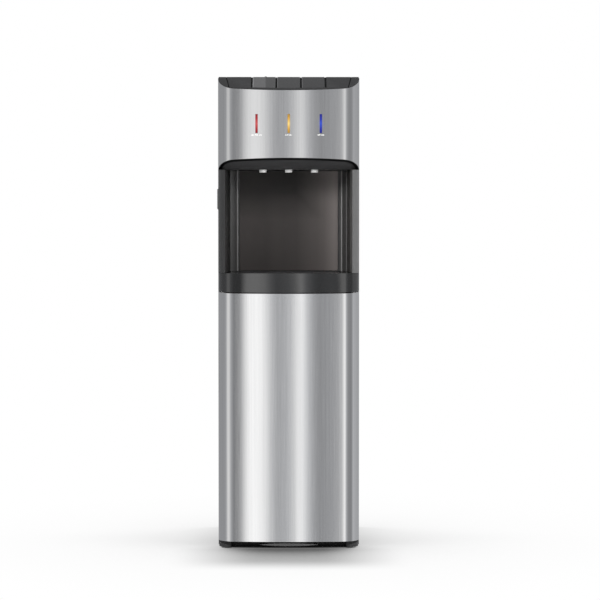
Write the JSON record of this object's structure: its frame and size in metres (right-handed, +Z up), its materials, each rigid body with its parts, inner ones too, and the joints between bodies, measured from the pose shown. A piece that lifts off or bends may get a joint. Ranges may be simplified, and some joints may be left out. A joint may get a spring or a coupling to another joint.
{
  "type": "bottom-loading water cooler",
  "caption": "Free-standing water cooler with a bowed stainless front, a hinged bottle door, a serving alcove with a lift-out drip tray, sloped dispensing paddles and a wire condenser behind",
  "frame": {"origin": "on the floor, under the middle of the object's bounding box", "axes": "+Z up, the bowed front with the door faces -Y, +X is to the right seen from the front"},
  "size_m": [0.315, 0.3904, 1.044],
  "materials": {
    "stainless_front": "vertically brushed stainless sheet",
    "black_gloss": "polished black moulding",
    "hood_black": "fine satin black moulding",
    "alcove_grey": "satin dark grey moulding",
    "alcove_back": "dark polished sheet",
    "top_black": "fine-grained black moulding",
    "hot_key": "satin grey moulding",
    "room_key": "satin dark grey moulding",
    "cold_key": "satin dark grey moulding",
    "lock_grey": "satin moulding",
    "hot_lens": "lit red bar",
    "room_lens": "lit amber bar",
    "cold_lens": "lit blue bar",
    "inner_white": "satin white moulding",
    "door_grey": "satin light grey moulding",
    "valve_white": "smooth white moulding",
    "tray_black": "satin black moulding",
    "base_black": "satin dark grey moulding",
    "foot_grey": "grey moulding",
    "side_black": "fine-textured black powder coat",
    "back_black": "black coated sheet",
    "zinc_sheet": "zinc-coated sheet",
    "pin_steel": "turned steel",
    "magnet_black": "covered bar magnet",
    "probe_blue": "smooth blue moulding",
    "hose_clear": "milky soft tube",
    "pump_grey": "dark moulding and motor can",
    "foam_white": "moulded bead foam",
    "tank_steel": "drawn stainless sheet",
    "heater_grey": "metal-clad band",
    "compressor_black": "black enamel",
    "mount_rubber": "black rubber",
    "condenser_black": "black dipped coat",
    "clip_black": "black moulding",
    "copper": "drawn copper tube",
    "switch_black": "satin black moulding",
    "rocker_red": "smooth red moulding",
    "rocker_green": "smooth green moulding"
  },
  "bodies": {
    "cabinet": {"upper_panel": "stainless_front", "tray_housing": "black_gloss", "nozzle_hood": "hood_black", "alcove_liner": "alcove_grey", "alcove_panel": "alcove_back", "top_cover": "top_black", "hot_light": "hot_lens", "room_light": "room_lens", "cold_light": "cold_lens", "bay_liner": "inner_white", "light_carrier": "inner_white", "control_box": "inner_white", "bottle_floor": "door_grey", "nozzles": "valve_white", "tap_valves": "valve_white", "base_pan": "base_black", "left_side_panel": "side_black", "right_side_panel": "side_black", "back_panel": "back_black", "mid_deck": "zinc_sheet", "tank_shelf": "zinc_sheet", "hinge_pins": "pin_steel", "strike_plates": "pin_steel", "paddle_shaft": "pin_steel", "probe_collar": "probe_blue", "dip_tube": "hose_clear", "suction_hose": "hose_clear", "water_lines": "hose_clear", "drain_line": "hose_clear", "water_pump": "pump_grey", "cold_jacket": "foam_white", "cold_tank": "tank_steel", "hot_tank": "tank_steel", "heater_band": "heater_grey", "compressor": "compressor_black", "compressor_mounts": "mount_rubber", "condenser_coil": "condenser_black", "condenser_wires": "condenser_black", "condenser_clips": "clip_black", "lead_gland": "clip_black", "refrigerant_lines": "copper", "filter_drier": "copper", "switch_plate": "switch_black"},
    "door": {"door_skin": "stainless_front", "door_liner": "door_grey", "door_magnets": "magnet_black"},
    "hot_paddle": {"hot_paddle": "hot_key"},
    "room_paddle": {"room_paddle": "room_key"},
    "cold_paddle": {"cold_paddle": "cold_key"},
    "hot_rod": {"hot_rod": "valve_white"},
    "room_rod": {"room_rod": "valve_white"},
    "cold_rod": {"cold_rod": "valve_white"},
    "child_lock": {"child_lock": "lock_grey"},
    "drip_tray": {"drip_tray": "tray_black"},
    "drip_grate": {"drip_grate": "tray_black"},
    "hot_rocker": {"hot_rocker": "rocker_red"},
    "cold_rocker": {"cold_rocker": "rocker_green"},
    "front_left_foot": {"front_left_foot": "foot_grey"},
    "front_right_foot": {"front_right_foot": "foot_grey"},
    "drain_cap": {"drain_cap": "clip_black"}
  },
  "joints": [
    {"name": "door_swing", "type": "hinge", "parent": "cabinet", "child": "door", "pos_m": [0.15, -0.1496, 0.016], "axis": [0, 0, 1], "range_deg": [0, 100]},
    {"name": "hot_press", "type": "hinge", "parent": "cabinet", "child": "hot_paddle", "pos_m": [0, -0.098, 1.0335], "axis": [1, 0, 0], "range_deg": [0, 5.5], "stiffness_Nm_per_rad": 1, "springref_deg": -4.58},
    {"name": "room_press", "type": "hinge", "parent": "cabinet", "child": "room_paddle", "pos_m": [0, -0.098, 1.0335], "axis": [1, 0, 0], "range_deg": [0, 5.5], "stiffness_Nm_per_rad": 1, "springref_deg": -4.58},
    {"name": "cold_press", "type": "hinge", "parent": "cabinet", "child": "cold_paddle", "pos_m": [0, -0.098, 1.0335], "axis": [1, 0, 0], "range_deg": [0, 5.5], "stiffness_Nm_per_rad": 1, "springref_deg": -4.58},
    {"name": "hot_rod_slide", "type": "slide", "parent": "cabinet", "child": "hot_rod", "axis": [0, 0, -1], "range_m": [0, 0.0032]},
    {"name": "room_rod_slide", "type": "slide", "parent": "cabinet", "child": "room_rod", "axis": [0, 0, -1], "range_m": [0, 0.0032]},
    {"name": "cold_rod_slide", "type": "slide", "parent": "cabinet", "child": "cold_rod", "axis": [0, 0, -1], "range_m": [0, 0.0032]},
    {"name": "lock_slide", "type": "slide", "parent": "hot_paddle", "child": "child_lock", "axis": [0, 1, 0], "range_m": [0, 0.005]},
    {"name": "tray_lift", "type": "slide", "parent": "cabinet", "child": "drip_tray", "axis": [0, 0, 1], "range_m": [0, 0.1]},
    {"name": "grate_lift", "type": "slide", "parent": "drip_tray", "child": "drip_grate", "axis": [0, 0, 1], "range_m": [0, 0.05]},
    {"name": "hot_switch", "type": "hinge", "parent": "cabinet", "child": "hot_rocker", "pos_m": [-0.1512, -0.1, 0.78275], "axis": [0, 0, -1], "range_deg": [0, 14]},
    {"name": "cold_switch", "type": "hinge", "parent": "cabinet", "child": "cold_rocker", "pos_m": [-0.1512, -0.1, 0.76125], "axis": [0, 0, -1], "range_deg": [0, 14]},
    {"name": "left_foot_turn", "type": "hinge", "parent": "cabinet", "child": "front_left_foot", "pos_m": [-0.1364, -0.163, 0], "axis": [0, 0, 1], "continuous": true},
    {"name": "right_foot_turn", "type": "hinge", "parent": "cabinet", "child": "front_right_foot", "pos_m": [0.1364, -0.163, 0], "axis": [0, 0, 1], "continuous": true},
    {"name": "drain_cap_off", "type": "slide", "parent": "cabinet", "child": "drain_cap", "axis": [0, 1, 0], "range_m": [0, 0.03]}
  ],
  "couplings": [
    {"joint": "hot_rod_slide", "follows": "hot_press", "m_per_rad": 0.033},
    {"joint": "room_rod_slide", "follows": "room_press", "m_per_rad": 0.033},
    {"joint": "cold_rod_slide", "follows": "cold_press", "m_per_rad": 0.033}
  ]
}
